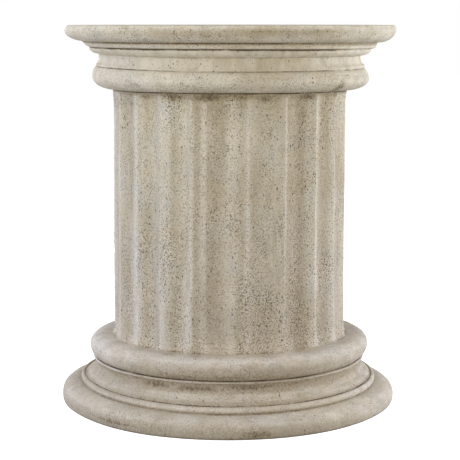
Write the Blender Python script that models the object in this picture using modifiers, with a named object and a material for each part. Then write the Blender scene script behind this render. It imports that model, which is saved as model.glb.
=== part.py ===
"""Fluted column pedestal of cast stone, one solid casting: a moulded base, a shaft with shallow
flutes that meet in arrises, and a moulded capital under a round slab.

Metres, +Z up. The origin is the centre of the underside, and the front of the casting faces -Y.
Angles round the shaft are degrees from the front, growing towards +X.
"""

import math

import bmesh
import bpy

OBJECT_NAME = "fluted_column_pedestal"
STONE_COLOUR = (0.50, 0.44, 0.345, 1.0)
STONE_ROUGHNESS = 0.85

# Whole piece
TOTAL_HEIGHT = 0.610
SHAFT_RADIUS = 0.187
TURNED_STEPS = 64
MERGE_DISTANCE = 0.0001

# Slab: the projection is beyond the fascia, the nose height is above the slab's underside
SLAB_THICKNESS = 0.0245
SLAB_PROJECTION = 0.0278
SLAB_NOSE_HEIGHT = 0.0150
SLAB_TOP_ROUND = 0.0060
SLAB_UNDER_ROUND = 0.0200

# Capital, from the slab down: each projection is beyond the member below it
FASCIA_HEIGHT = 0.0075
FASCIA_PROJECTION = 0.0081
FASCIA_DRAFT = 0.0018
OVOLO_HEIGHT = 0.0125
OVOLO_PROJECTION = 0.0180
NECK_PROJECTION = 0.0233
NECK_BAND_HEIGHT = 0.0055
CAVETTO_HEIGHT = 0.0140
CAVETTO_DEPTH = 0.0049
CAP_FILLET_HEIGHT = 0.0025
CAP_TORUS_SWELL = 0.0068
CAP_TORUS_RISE = 0.0145
CAP_TORUS_DROP = 0.0225
CAP_TORUS_LEDGE = 0.0014

# Shaft and its flutes
SHAFT_FLARE = 0.0016
FLARE_HEIGHT = 0.0100
FLARE_LIP = 0.0040
FLUTE_COUNT = 20
FLUTE_SEGMENTS = 8
FLUTE_DEPTH = 0.0080
FLUTE_FOOT_DEPTH = 0.0045
FLUTE_RUNOUT_HEIGHT = 0.0200
FLUTE_RUNOUT_RINGS = 3
PLAIN_STRIP_WIDTH_DEG = 6.65
PLAIN_STRIP_CENTRE_DEG = -15.03
SPACING_DRIFT_DEG = 3.5
SPACING_DRIFT_CYCLES = 4
SHAFT_END_OVERLAP = 0.0120

# Base, from the shaft down
BASE_TORUS_PROJECTION = 0.0400
BASE_TORUS_ROUND = 0.0215
BASE_TORUS_RISE = 0.0165
BASE_TORUS_DROP = 0.0166
BASE_FILLET_PROJECTION = 0.0325
BASE_FILLET_HEIGHT = 0.0051
SCOTIA_HEIGHT = 0.0278
SCOTIA_SPREAD = 0.0173
SCOTIA_SWEEP_DEG = 64.0
REED_HEIGHT = 0.0108
REED_PROJECTION = 0.0048
FOOT_PROJECTION = 0.0357
FOOT_SETBACK = 0.0032
FOOT_RISE = 0.0207
FOOT_NOSE_HEIGHT = 0.0130
FOOT_UNDERCUT = 0.0045

# How far round below level the half-round members run, in degrees
TORUS_HEEL_DEG = 58.0
REED_HEEL_DEG = 62.0
FOOT_HEEL_DEG = 66.0

# Radii of the members, each resting on the size of the one that carries it
neck_radius = SHAFT_RADIUS + NECK_PROJECTION
ovolo_radius = neck_radius + OVOLO_PROJECTION
fascia_radius = ovolo_radius + FASCIA_PROJECTION
slab_radius = fascia_radius + SLAB_PROJECTION
cap_fillet_radius = neck_radius + CAVETTO_DEPTH
cap_torus_radius = cap_fillet_radius + CAP_TORUS_SWELL
lip_radius = SHAFT_RADIUS + SHAFT_FLARE
base_torus_radius = SHAFT_RADIUS + BASE_TORUS_PROJECTION
base_fillet_radius = SHAFT_RADIUS + BASE_FILLET_PROJECTION
scotia_low_radius = base_fillet_radius + SCOTIA_SPREAD
foot_radius = scotia_low_radius + FOOT_PROJECTION

# Heights of the joints between members, from the underside up
foot_top = FOOT_NOSE_HEIGHT + FOOT_RISE
reed_top = foot_top + REED_HEIGHT
scotia_top = reed_top + SCOTIA_HEIGHT
base_fillet_top = scotia_top + BASE_FILLET_HEIGHT
base_torus_level = base_fillet_top + BASE_TORUS_DROP
base_top = base_torus_level + BASE_TORUS_RISE

# Heights of the joints between members, from the top down
slab_under = TOTAL_HEIGHT - SLAB_THICKNESS
fascia_under = slab_under - FASCIA_HEIGHT
ovolo_under = fascia_under - OVOLO_HEIGHT
neck_band_under = ovolo_under - NECK_BAND_HEIGHT
cavetto_under = neck_band_under - CAVETTO_HEIGHT
cap_fillet_under = cavetto_under - CAP_FILLET_HEIGHT
cap_torus_level = cap_fillet_under - CAP_TORUS_RISE
cap_under = cap_torus_level - CAP_TORUS_DROP


def clear_scene():
    for item in list(bpy.data.objects):
        bpy.data.objects.remove(item, do_unlink=True)


def make_collection(name):
    collection = bpy.data.collections.new(name)
    bpy.context.scene.collection.children.link(collection)
    return collection


def stone_material():
    material = bpy.data.materials.new("cast_stone")
    material.use_nodes = True
    shader = material.node_tree.nodes["Principled BSDF"]
    shader.inputs["Base Color"].default_value = STONE_COLOUR
    shader.inputs["Roughness"].default_value = STONE_ROUGHNESS
    shader.inputs["Metallic"].default_value = 0.0
    return material


def arc(centre_radius, centre_height, width, height, start_deg, end_deg, count):
    """Points of an elliptic arc in the half plane of a profile, both ends included."""
    points = []
    for index in range(count):
        angle = math.radians(start_deg + (end_deg - start_deg) * index / (count - 1))
        radius = centre_radius + width * math.cos(angle)
        points.append((radius, centre_height + height * math.sin(angle)))
    return points


def capital_profile():
    """The outer side of the slab and capital, from the centre of the top down to the shaft."""
    nose_level = slab_under + SLAB_NOSE_HEIGHT
    top_rise = TOTAL_HEIGHT - nose_level
    points = [(0.0, TOTAL_HEIGHT)]
    points += arc(slab_radius - SLAB_TOP_ROUND, nose_level, SLAB_TOP_ROUND, top_rise,
                  90, 0, count=4)
    under_round = arc(slab_radius - SLAB_UNDER_ROUND, nose_level, SLAB_UNDER_ROUND,
                      SLAB_NOSE_HEIGHT, 0, -90, count=5)
    points += under_round[1:]
    points.append((fascia_radius + FASCIA_DRAFT, slab_under))
    points.append((fascia_radius, fascia_under))
    points += arc(neck_radius, fascia_under, OVOLO_PROJECTION, OVOLO_HEIGHT, 0, -90, count=4)
    points += arc(cap_fillet_radius, neck_band_under, CAVETTO_DEPTH, CAVETTO_HEIGHT,
                  180, 270, count=4)
    points += cap_torus_profile()
    points.append((0.0, cap_under))
    return points


def cap_torus_profile():
    """The upper torus, from under its fillet out to its widest point and in to a narrow ledge
    round the shaft."""
    upper = arc(cap_fillet_radius, cap_torus_level, CAP_TORUS_SWELL, CAP_TORUS_RISE,
                90, 0, count=5)
    ledge_radius = lip_radius + CAP_TORUS_LEDGE
    lower = arc(ledge_radius, cap_torus_level, cap_torus_radius - ledge_radius, CAP_TORUS_DROP,
                0, -90, count=6)
    return upper + lower[1:]


def base_profile():
    """The outer side of the base, from the centre of its top down to the underside."""
    torus_centre = base_torus_radius - BASE_TORUS_ROUND
    torus_depth = BASE_TORUS_DROP / math.sin(math.radians(TORUS_HEEL_DEG))
    points = [(0.0, base_top)]
    points += arc(torus_centre, base_torus_level, BASE_TORUS_ROUND, BASE_TORUS_RISE,
                  90, 0, count=5)
    under = arc(torus_centre, base_torus_level, BASE_TORUS_ROUND, torus_depth,
                0, -TORUS_HEEL_DEG, count=4)
    points += under[1:]
    points.append((base_fillet_radius, base_fillet_top))
    points += scotia_profile()
    points += reed_profile()
    points += foot_profile()
    points.append((0.0, 0.0))
    return points


def scotia_profile():
    """The hollow between the thin fillet and the reed, upright where it leaves the fillet."""
    sweep = math.radians(SCOTIA_SWEEP_DEG)
    width = SCOTIA_SPREAD / (1.0 - math.cos(sweep))
    height = SCOTIA_HEIGHT / math.sin(sweep)
    return arc(base_fillet_radius + width, scotia_top, width, height,
               180, 180 + SCOTIA_SWEEP_DEG, count=5)


def reed_profile():
    """The half-round reed at the scotia's foot."""
    half_height = REED_HEIGHT / 2.0
    points = arc(scotia_low_radius, reed_top - half_height, REED_PROJECTION, half_height,
                 90, -REED_HEEL_DEG, count=5)
    return points[1:]


def foot_profile():
    """The wide bottom torus, which rounds under a little to the flat underside."""
    crown_radius = scotia_low_radius + FOOT_SETBACK
    crown_width = foot_radius - crown_radius
    points = arc(crown_radius, FOOT_NOSE_HEIGHT, crown_width, FOOT_RISE, 90, 0, count=7)
    heel = math.radians(FOOT_HEEL_DEG)
    heel_width = FOOT_UNDERCUT / (1.0 - math.cos(heel))
    heel_height = FOOT_NOSE_HEIGHT / math.sin(heel)
    under = arc(foot_radius - heel_width, FOOT_NOSE_HEIGHT, heel_width, heel_height,
                0, -FOOT_HEEL_DEG, count=4)
    return points + under[1:]


def turned_object(name, profile, collection):
    """A profile in the XZ plane, turned once round Z by a Screw modifier."""
    mesh = bpy.data.meshes.new(name)
    corners = [(radius, 0.0, height) for radius, height in profile]
    edges = [(index, index + 1) for index in range(len(corners) - 1)]
    mesh.from_pydata(corners, edges, [])
    item = bpy.data.objects.new(name, mesh)
    collection.objects.link(item)
    turn = item.modifiers.new("turn", "SCREW")
    turn.axis = "Z"
    turn.angle = 2.0 * math.pi
    turn.steps = TURNED_STEPS
    turn.render_steps = TURNED_STEPS
    turn.use_merge_vertices = True
    turn.merge_threshold = MERGE_DISTANCE
    return item


def arris_angle(number):
    """Angle of an arris, counted from the plain strip's right edge round to its left edge. The
    spacing drifts a little four times round the shaft, as the hand-cut pattern does."""
    first = PLAIN_STRIP_CENTRE_DEG + PLAIN_STRIP_WIDTH_DEG / 2.0
    pitch = (360.0 - PLAIN_STRIP_WIDTH_DEG) / FLUTE_COUNT
    phase = math.pi * SPACING_DRIFT_CYCLES * number / FLUTE_COUNT
    return first + pitch * number + SPACING_DRIFT_DEG * math.sin(phase) ** 2


def flute_stations():
    """Angle and share of the full flute depth at each corner round the shaft."""
    stations = []
    for flute in range(FLUTE_COUNT):
        start = arris_angle(flute)
        width = arris_angle(flute + 1) - start
        for segment in range(FLUTE_SEGMENTS):
            across = segment / FLUTE_SEGMENTS
            stations.append((start + width * across, 4.0 * across * (1.0 - across)))
    stations.append((arris_angle(FLUTE_COUNT), 0.0))
    return stations


def shaft_levels():
    """Height, arris radius and flute depth at each ring of the shaft, from the foot up. The ends
    run on inside the base and the capital."""
    levels = [(base_top - SHAFT_END_OVERLAP, SHAFT_RADIUS, FLUTE_FOOT_DEPTH)]
    for ring in range(1, FLUTE_RUNOUT_RINGS + 1):
        share = ring / FLUTE_RUNOUT_RINGS
        gained = (FLUTE_DEPTH - FLUTE_FOOT_DEPTH) * math.sin(share * math.pi / 2.0)
        height = base_top + FLUTE_RUNOUT_HEIGHT * share
        levels.append((height, SHAFT_RADIUS, FLUTE_FOOT_DEPTH + gained))
    lip_under = cap_under - FLARE_LIP
    levels.append((lip_under - FLARE_HEIGHT, SHAFT_RADIUS, FLUTE_DEPTH))
    levels.append((lip_under, lip_radius, FLUTE_DEPTH))
    levels.append((cap_under + SHAFT_END_OVERLAP, lip_radius, FLUTE_DEPTH))
    return levels


def place_ring(corners, number_layer, stations, level):
    height, arris_radius, depth = level
    for corner in corners:
        angle_deg, share = stations[corner[number_layer]]
        angle = math.radians(angle_deg)
        radius = arris_radius - depth * share
        corner.co = (radius * math.sin(angle), -radius * math.cos(angle), height)


def shaft_object(collection):
    """A capped ring with one corner at each station, extruded up from level to level. Its faces
    twist a little where the flutes run out, so they are cut into triangles, which stay flat."""
    stations = flute_stations()
    levels = shaft_levels()
    shape = bmesh.new()
    number_layer = shape.verts.layers.int.new("station")
    bmesh.ops.create_circle(shape, cap_ends=True, segments=len(stations), radius=SHAFT_RADIUS)
    shape.faces.ensure_lookup_table()
    end_face = shape.faces[0]
    for number, corner in enumerate(end_face.verts):
        corner[number_layer] = number
    place_ring(end_face.verts, number_layer, stations, levels[0])
    for level in levels[1:]:
        region = [end_face, *end_face.edges, *end_face.verts]
        grown = bmesh.ops.extrude_face_region(shape, geom=region)["geom"]
        end_face = next(part for part in grown if isinstance(part, bmesh.types.BMFace))
        place_ring(end_face.verts, number_layer, stations, level)
    bmesh.ops.triangulate(shape, faces=shape.faces)
    bmesh.ops.recalc_face_normals(shape, faces=shape.faces)
    mesh = bpy.data.meshes.new("shaft_form")
    shape.to_mesh(mesh)
    shape.free()
    item = bpy.data.objects.new("shaft_form", mesh)
    collection.objects.link(item)
    return item


def unite(item, helper):
    helper.hide_render = True
    helper.display_type = "WIRE"
    union = item.modifiers.new("with_" + helper.name, "BOOLEAN")
    union.operation = "UNION"
    union.solver = "EXACT"
    union.object = helper


def main():
    clear_scene()
    parts = make_collection(OBJECT_NAME)
    helpers = make_collection("joined_forms")
    pedestal = turned_object("pedestal", base_profile(), parts)
    pedestal.data.materials.append(stone_material())
    unite(pedestal, shaft_object(helpers))
    unite(pedestal, turned_object("capital_form", capital_profile(), helpers))


main()
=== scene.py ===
"""Looks of a short fluted column pedestal of weathered cast stone.

The casting is one fine mesh: its profile is spun round the upright axis, then worked over
as a caster would leave it, with flutes, worn arrises, a slight lean and uneven mouldings.
Metres, +Z up. Angles round the shaft are degrees from the front, growing towards +X.
"""

import math

import bmesh
import bpy
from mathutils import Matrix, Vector, noise


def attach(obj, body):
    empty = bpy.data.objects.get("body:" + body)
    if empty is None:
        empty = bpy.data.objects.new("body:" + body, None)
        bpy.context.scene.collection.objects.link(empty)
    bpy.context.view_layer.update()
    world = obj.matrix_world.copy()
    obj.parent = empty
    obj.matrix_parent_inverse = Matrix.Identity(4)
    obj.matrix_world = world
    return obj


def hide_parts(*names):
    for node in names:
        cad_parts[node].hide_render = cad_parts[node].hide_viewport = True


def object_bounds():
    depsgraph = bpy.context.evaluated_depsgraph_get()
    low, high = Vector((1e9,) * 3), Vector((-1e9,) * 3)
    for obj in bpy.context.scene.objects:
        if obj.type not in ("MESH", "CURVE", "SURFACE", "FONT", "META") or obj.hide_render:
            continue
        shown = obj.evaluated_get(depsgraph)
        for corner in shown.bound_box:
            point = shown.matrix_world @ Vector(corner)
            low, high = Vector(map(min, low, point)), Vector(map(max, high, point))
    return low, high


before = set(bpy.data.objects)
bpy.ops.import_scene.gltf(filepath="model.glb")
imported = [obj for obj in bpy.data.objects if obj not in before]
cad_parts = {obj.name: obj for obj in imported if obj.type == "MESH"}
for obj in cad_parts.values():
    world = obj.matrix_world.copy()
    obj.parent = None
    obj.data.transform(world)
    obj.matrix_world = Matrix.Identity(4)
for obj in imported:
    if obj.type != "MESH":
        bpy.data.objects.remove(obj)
cad_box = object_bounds()
cad_high = cad_box[1]

# Whole piece, from the frame
TOTAL_HEIGHT = cad_high[2]
FOOT_RADIUS = cad_high[0]

# Shaft: its outline over the arrises is radius and height, from the capital down
SHAFT_RADIUS = 0.1884
SHAFT_LOW_RADIUS = 0.1898
SHAFT_FOOT_RADIUS = 0.1926
SHAFT_FOOT = 0.1110
SHAFT_HEAD = 0.5090
HEAD_GAP = 0.0006
HEAD_FLARE = ((0.1898, 0.5010), (0.1892, 0.4950), (0.1887, 0.4890))
SHAFT_LINE = ((SHAFT_RADIUS, 0.4750), (SHAFT_RADIUS + 0.0002, 0.4000),
              (SHAFT_LOW_RADIUS, SHAFT_FOOT + 0.0160))
FOOT_FLARE = ((SHAFT_LOW_RADIUS + 0.0003, SHAFT_FOOT + 0.0060),
              (SHAFT_LOW_RADIUS + 0.0012, SHAFT_FOOT + 0.0022), (SHAFT_FOOT_RADIUS, SHAFT_FOOT))

# Flutes and the plain strip, angles in degrees
FLUTE_COUNT = 20
FLUTE_STEPS = 17
STRIP_STEPS = 4
FLUTE_DEPTH = 0.0084
FLUTE_UNEVENNESS = 0.12
FLUTE_POCKET = 0.0030
FLUTE_END = SHAFT_FOOT + 0.0010
FLUTE_END_DRIFT = 0.0040
FLUTE_END_LENGTH = 0.018
FLUTE_RUN_OUT = 0.50
FLUTE_RUN_OUT_DRIFT = 0.25
FLUTE_RUN_IN = 0.25
FLUTE_RUN_IN_LEVELS = (0.494, 0.507)
FLUTE_HEAD_LEVELS = (0.5035, 0.5080)
FLUTED_BELOW = 0.512
FLUTED_WITHIN = 0.1928
STRIP_DISH = 0.0017
# Share of wash and painted shade at the middle of the plain strip's shallow dish
STRIP_WASH_AND_SHADE = 0.30
PLAIN_STRIP_WIDTH = 7.00
PLAIN_STRIP_CENTRE = -14.87
SPACING_DRIFT = 3.5
SPACING_DRIFT_CYCLES = 4

# Wear of the arrises and the chips in them
LEAST_WEAR = 0.0003
SOFT_WEAR = 0.0020
CHIP_DEPTH = 0.0020
CHIP_START = 0.30
WEAR_REACH = 0.0026
SOFT_WEAR_REACH = 0.0050
MEAN_FLUTE_WIDTH = 17.7
SHAFT_TWIST = 0.35

# Levels and sizes of the mouldings at the left, the front and the right, which differ a little
PROFILE_SIZES = {
    "nose_radius": (0.2652, 0.2644, 0.2640),
    "nose_level": (0.6000, 0.6020, 0.6030),
    "nose_top": (0.0060, 0.0060, 0.0034),
    "slab_low": (0.0272, 0.0250, 0.0280),
    "slab_under": (0.5856, 0.5856, 0.5824),
    "fullness": (1.68, 2.55, 2.10),
    "line_1": (0.5836, 0.5838, 0.5808),
    "fascia": (0.2352, 0.2376, 0.2358),
    "fascia_low": (0.2294, 0.2368, 0.2330),
    "line_2": (0.5780, 0.5770, 0.5742),
    "ovolo": (0.2258, 0.2286, 0.2262),
    "line_3": (0.5654, 0.5622, 0.5622),
    "neck_radius": (0.2106, 0.2122, 0.2092),
    "line_4": (0.5456, 0.5417, 0.5418),
    "bead_rise": (0.0042, 0.0024, 0.0060),
    "bead": (0.2156, 0.2150, 0.2148),
    "swell": (0.0072, 0.0074, 0.0075),
    "torus_level": (0.5300, 0.5290, 0.5248),
    "torus_top": (1.62, 1.80, 1.34),
    "torus_low": (0.5090, 0.5098, 0.5078),
    "reed": (0.0412, 0.0364, 0.0386),
    "foot_top": (0.0362, 0.0304, 0.0332),
    "shoulder": (2.45, 2.05, 1.92),
}
LEFT, FRONT, RIGHT = ({name: sizes[side] for name, sizes in PROFILE_SIZES.items()}
                      for side in range(3))

# What the three profiles share in the capital
TORUS_CORE = 0.1900
OVOLO_SET_BACK = 0.0022
NECK_STRAIGHT = 0.0040
BEAD_BULGE = 0.0004
BEAD_TUCK = 0.0002

# Base: radius and height of centres and points, and half sizes of the rounds
BASE_TORUS_CENTRE = (0.2060, 0.0945)
BASE_TORUS_REACH = 0.0218
BASE_TORUS_RISE = 0.0167
BASE_TORUS_DROP = 0.0207
BASE_TORUS_FULLNESS = 2.12
BASE_FILLET = ((0.2210, 0.0760), (0.2215, 0.0750), (0.2215, 0.0736), (0.2200, 0.0722))
SCOTIA_HEAD = ((0.2182, 0.0704), (0.2174, 0.0680), (0.2178, 0.0644))
SCOTIA_CENTRE = (0.2470, 0.0692)
SCOTIA_REACH = 0.0290
SCOTIA_DROP = 0.0262
SCOTIA_LOW_RADIUS = 0.2341
SCOTIA_ABOVE_REED = 0.0046
REED_RADIUS = 0.2370
REED_REACH = 0.0044
REED_RISE = 0.0056
FOOT_HEAD_RADIUS = 0.2396
FOOT_INNER_RADIUS = 0.2400
FOOT_NOSE_LEVEL = 0.0130
FOOT_EDGE = 0.0034
FOOT_EDGE_DROP = 0.0122
FOOT_EDGE_FULLNESS = 2.3
SOLE_INSET = 0.0042

# Fine grooves where the mouldings meet: half width, depth and how dark the wash lies in them
GROOVES = {"under_slab": (0.0008, 0.0010, 1.00), "under_fascia": (0.0017, 0.0026, 1.60),
           "under_ovolo": (0.0010, 0.0006, 0.50), "above_torus": (0.0006, 0.0010, 0.70),
           "shaft_head": (0.0036, 0.0026, 2.00), "shaft_foot": (0.0014, 0.0002, 0.22),
           "under_base_torus": (0.0013, 0.0014, 1.10), "under_fillet": (0.0009, 0.0004, 0.55),
           "above_reed": (0.0014, 0.0010, 1.40), "below_reed": (0.0009, 0.0002, 0.36)}

# Places where a groove fills up: its name, angle from the front and half width in degrees
FILLED_SHARE = 0.85
FIRST_GROOVE_SEED = 20
FILLED = (("under_slab", -90, 22), ("under_slab", 72, 30), ("under_fascia", 66, 28),
          ("shaft_foot", 0, 12), ("shaft_foot", 46, 10), ("above_torus", -16, 5),
          ("above_reed", -82, 28), ("above_reed", 86, 26))
GROOVE_STEPS = (0.55, 1.15, 1.9)

# The foot's edge is drawn in at both sides of the front, below these heights
FOOT_PINCH_LEFT = 0.0044
FOOT_PINCH_RIGHT = 0.0028
FOOT_PINCH_ANGLE = 56.0
FOOT_PINCH_WIDTH = 20.0
FOOT_PINCH_LEVELS = (0.022, 0.036)

# The hand of the caster: how far each height stands off the axis, and the unevenness of rounds
# and of single flutes and arrises, by their numbers
LEAN = ((0.0, 0.0), (0.05, 0.0002), (0.095, 0.0014), (0.12, 0.0026), (0.31, 0.0028),
        (0.50, 0.0040), (0.53, 0.0050), (0.555, 0.0041), (0.58, 0.0029), (0.60, 0.0045),
        (0.61, 0.0045))
RADIAL_WOBBLE = 0.0006
LEVEL_WOBBLE = 0.0008
BOX_CLEARANCE = 0.0002
SOFT_ARRISES = {1: 0.55, 17: 0.4, 18: 0.5, 19: 0.45, 20: 0.0}
ARRIS_SHIFTS = {1: 1.5, 2: -0.5, 3: 0.2, 4: 0.2}
ARRIS_FLATS = {17: 0.10, 18: 0.32, 19: 0.34}
FLUTE_DEPTHS = {1: 0.78}
FLUTE_SKEWS = {0: 0.78, 2: 0.76, 3: 0.76}
# Strength of the wash and painted shade in single flutes, by their numbers; the plain strip is -1
FLUTE_SHADE_AND_WASH_STRENGTHS = {-1: 2.6, 0: 0.98, 1: 0.52, 2: 0.85, 18: 0.90, 19: 0.55}

# Spacing of the rows of the profile
FINE_ROW = 0.0016
ROW = 0.0030
SHAFT_ROW = 0.0070
DISC_ROW = 0.0700
NARROW_ROW = 0.0007
SHORT_STROKE = 0.3
HOLLOW_REACH = 0.0060
FULL_HOLLOW = 0.0016

# Camera, from the photograph
FRAME_PIXELS = 460
FOCAL_PIXELS = 1510.0
CAMERA_DISTANCE = 2.445
CAMERA_HEIGHT = 0.6172
CAMERA_PITCH = 7.9
CAMERA_SIDE = 0.0034
SENSOR_WIDTH = 36.0

# Soft boxes: angle from the front, rise above the middle of the pedestal, power and tint
SOFT_BOXES = (("left_low", -70, 8, 27.4, (0.94, 0.985, 1.14)),
              ("left_high", -40, 42, 18.4, (0.94, 0.99, 1.12)),
              ("front_right", 20, 8, 22.9, (1.04, 1.0, 0.92)),
              ("right_rim", 106, 8, 54.0, (0.94, 0.99, 1.15)),
              ("left_rim", -135, 8, 43.0, (0.92, 0.98, 1.22)),
              ("right_high", 62, 40, 5.5, (0.96, 0.99, 1.12)),
              ("top", 0, 85, 20.0, (1.0, 1.0, 1.0)))
SOFT_BOX_SIZE = 1.4
SOFT_BOX_DISTANCE = 2.6
EVEN_LIGHT = 0.05
FLOOR_GLOW = 1.0
FLOOR_RADIUS = 14.0

# Stains that the wash and the years left: angle from the front, height, half width in degrees,
# half height in metres and strength
STAINS = ((-30, 0.0665, 9, 0.0065, 1.00), (-13, 0.0650, 13, 0.0055, 0.95),
          (8, 0.0670, 12, 0.0060, 0.85), (26, 0.0675, 11, 0.0050, 0.60),
          (-50, 0.0670, 12, 0.0050, 0.50), (50, 0.0670, 14, 0.0050, 0.40),
          (-20, 0.0830, 14, 0.0060, 0.60), (-2, 0.0830, 12, 0.0060, 0.65),
          (20, 0.0820, 10, 0.0050, 0.50), (-28, 0.5040, 6, 0.0070, 1.00),
          (-10, 0.5040, 10, 0.0080, 1.00), (5, 0.5050, 6, 0.0060, 0.80),
          (17, 0.5010, 5, 0.0075, 0.85), (39, 0.5030, 6, 0.0085, 0.95),
          (60, 0.5030, 4, 0.0055, 0.80), (-43, 0.5030, 4, 0.0070, 0.70),
          (-57, 0.5040, 5, 0.0060, 0.55), (50, 0.5165, 3, 0.0090, 0.95),
          (-43, 0.1130, 4, 0.0019, 0.90), (-27, 0.1126, 4, 0.0019, 1.00),
          (-14.5, 0.1130, 4, 0.0020, 1.00), (17, 0.1125, 5, 0.0020, 0.80),
          (36, 0.1130, 5, 0.0020, 0.70), (9, 0.0080, 6, 0.0060, 0.90),
          (-40, 0.0110, 12, 0.0045, 0.80), (-16, 0.0850, 7, 0.0050, 0.55),
          (24, 0.0250, 9, 0.0050, 0.35), (-8, 0.0230, 9, 0.0050, 0.35),
          (12, 0.6015, 10, 0.0030, 0.60), (30, 0.6010, 9, 0.0030, 0.55),
          (-14, 0.5960, 8, 0.0030, 0.40))
# Darker towards the bottom edge of the foot: strength and half height
BOTTOM_EDGE_DARKENING = 0.75
BOTTOM_EDGE_DARKENING_HEIGHT = 0.0035

# Patches of the shaft that are peppered with small pits, in the same way
PEPPERED = ((-43, 0.336, 3.0, 0.030, 0.95), (-39.5, 0.278, 2.5, 0.030, 0.90),
            (-26.6, 0.369, 2.5, 0.022, 0.95), (-25.3, 0.258, 2.5, 0.028, 0.95),
            (-25, 0.184, 3.0, 0.024, 0.80), (-34.6, 0.229, 2.5, 0.018, 0.75),
            (-16, 0.193, 2.5, 0.026, 0.95), (-8.4, 0.250, 3.0, 0.026, 0.85),
            (-6, 0.296, 3.0, 0.026, 0.75), (12.7, 0.242, 2.5, 0.014, 0.90),
            (15.8, 0.280, 2.0, 0.012, 0.85), (30, 0.378, 1.6, 0.034, 0.95),
            (37.4, 0.455, 3.0, 0.024, 0.95), (44, 0.157, 3.0, 0.022, 0.90),
            (37, 0.170, 3.0, 0.026, 0.80), (55, 0.492, 3.0, 0.016, 0.95),
            (62, 0.353, 3.0, 0.030, 0.80), (-52.5, 0.494, 4.0, 0.016, 0.90),
            (-62, 0.470, 3.0, 0.020, 0.75), (-72, 0.239, 3.0, 0.030, 0.85),
            (-15.5, 0.474, 4.0, 0.008, 0.95), (-2, 0.345, 4.0, 0.050, 0.60),
            (8, 0.330, 3.0, 0.040, 0.60), (40, 0.300, 3.0, 0.060, 0.60),
            (-46, 0.200, 3.0, 0.040, 0.60), (22, 0.170, 4.0, 0.030, 0.60),
            (-31, 0.480, 3.0, 0.014, 0.80))
MARK_END = 6.0

# Runs of dirt down the shaft, and lighter runs (below nought) of painted light that take the wash
# off:
# angle from the front, half width in degrees and strength
DIRT_RUNS_AND_PAINTED_LIGHT = ((-16, 2.8, 0.40), (-10, 2.5, 0.10), (5.5, 3.0, 0.60), (14, 4.0, 0.20),
             (28.5, 2.5, 0.32), (37, 3.5, 0.50), (55, 4.0, 0.42), (71, 5.0, 0.06),
             (-45, 2.5, 0.30), (-27.5, 2.5, 0.22), (45, 3.5, -0.50), (62, 3.5, -0.45),
             # The lighter run at -20.9 degrees is a painted highlight along an arris
             (-0.5, 3.5, -0.22), (-51, 3.0, -0.15), (-32, 2.5, -0.12), (-20.9, 1.2, -0.20))

# Bands of dirt round the front, of rubbed places, and on the slab of painted shade: height, half
# height and strength
SHAFT_BANDS = ((0.5060, 0.0060, 0.95), (0.1650, 0.0400, 0.28))
BASE_BANDS = ((0.0655, 0.0060, 0.75), (0.0750, 0.0015, 0.35), (0.0940, 0.0080, 0.40),
              (0.0452, 0.0034, 0.80), (0.0545, 0.0038, -0.60))
# Painted shade on the lower front of the slab, which rounds downward
SLAB_SHADE_BANDS = ((0.5990, 0.0095, 0.92),)

# Dirt and painted shade of the base, and the levels between which they come and go
BASE_DIRT = 0.44
# Downward-facing surfaces of the base get painted shade with their dirt
UNDERSIDE_DIRT_AND_SHADE = 0.55
FOOT_SPLASHES = 0.50
FOOT_SPLASH_LEVELS = (0.0170, 0.0240)
LEFT_DIRT = 0.50
LEFT_DIRT_LEVELS = (0.0700, 0.0780)
BASE_TOP_LEVELS = (0.1030, 0.1080)
BASE_TOP = 0.1120
OVOLO_DIRT = 0.30
OVOLO_LEVELS = (0.5630, 0.5800)
# The neck between these levels is painted light: pale and free of wash, less pale on its left from
# the second levels up
NECK_LEVELS = (0.5400, 0.5780)
NECK_LIGHT_LEVELS = (0.5540, 0.5640)
SLAB_BOTTOM = 0.5850

# Heights where the recesses keep less of their wash and painted shade, and how much of it is left
# there
WIPED_ON_BASE = ((0.0280, 0.0360), (0.1060, BASE_TOP))
WIPED_ON_SHAFT = ((SHAFT_FOOT, 0.1180),)
WIPED_REST = 0.25
# Wash and painted shade in the flutes
FLUTE_WASH_AND_SHADE = 0.60
SHAFT_REACH = 0.1915
FINISH_ATTRIBUTES = ("hollow", "edge", "groove", "stain", "peppered", "sandy", "turned")

# Colours of the stone, the wash, which in recesses also carries painted shade, and the pits
CREAM = (0.672, 0.614, 0.490, 1.0)
WARM = (0.612, 0.545, 0.412, 1.0)
GREY = (0.598, 0.570, 0.488, 1.0)
PALE = (0.780, 0.725, 0.625, 1.0)
WASH_AND_SHADE_LIGHT = (0.395, 0.330, 0.212, 1.0)
WASH_AND_SHADE_BROWN = (0.340, 0.280, 0.190, 1.0)
WASH_DARK = (0.115, 0.082, 0.046, 1.0)
PIT_DARK = (0.085, 0.060, 0.032, 1.0)

# The casting is a little pinker at its foot and yellower at its capital
FOOT_TINT = (1.000, 0.984, 1.012, 1.0)
CAP_TINT = (1.024, 1.003, 0.950, 1.0)

# Three sizes of pits: cells in a metre, share of them in a cluster, extra share in the peppered
# patches, offset of the pattern and strength
PIT_BEND = (0.0026, 0.0026, 0.0026)
PITS = ((250.0, 0.24, 0.35, 0.0, 0.9), (380.0, 0.55, 0.75, 3.1, 0.9), (640.0, 0.80, 0.60, 5.7, 0.7))


def arc(centre_radius, centre_height, width, height, start, end, count=13, fullness=2.0):
    """Points of an elliptic arc in the half plane of the profile, angles in degrees. A fullness
    under 2 makes it flatter."""
    points = []
    for index in range(count):
        angle = math.radians(start + (end - start) * index / (count - 1))
        across = math.copysign(abs(math.cos(angle)) ** (2.0 / fullness), math.cos(angle))
        upward = math.copysign(abs(math.sin(angle)) ** (2.0 / fullness), math.sin(angle))
        points.append((centre_radius + width * across, centre_height + height * upward))
    return points


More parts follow.
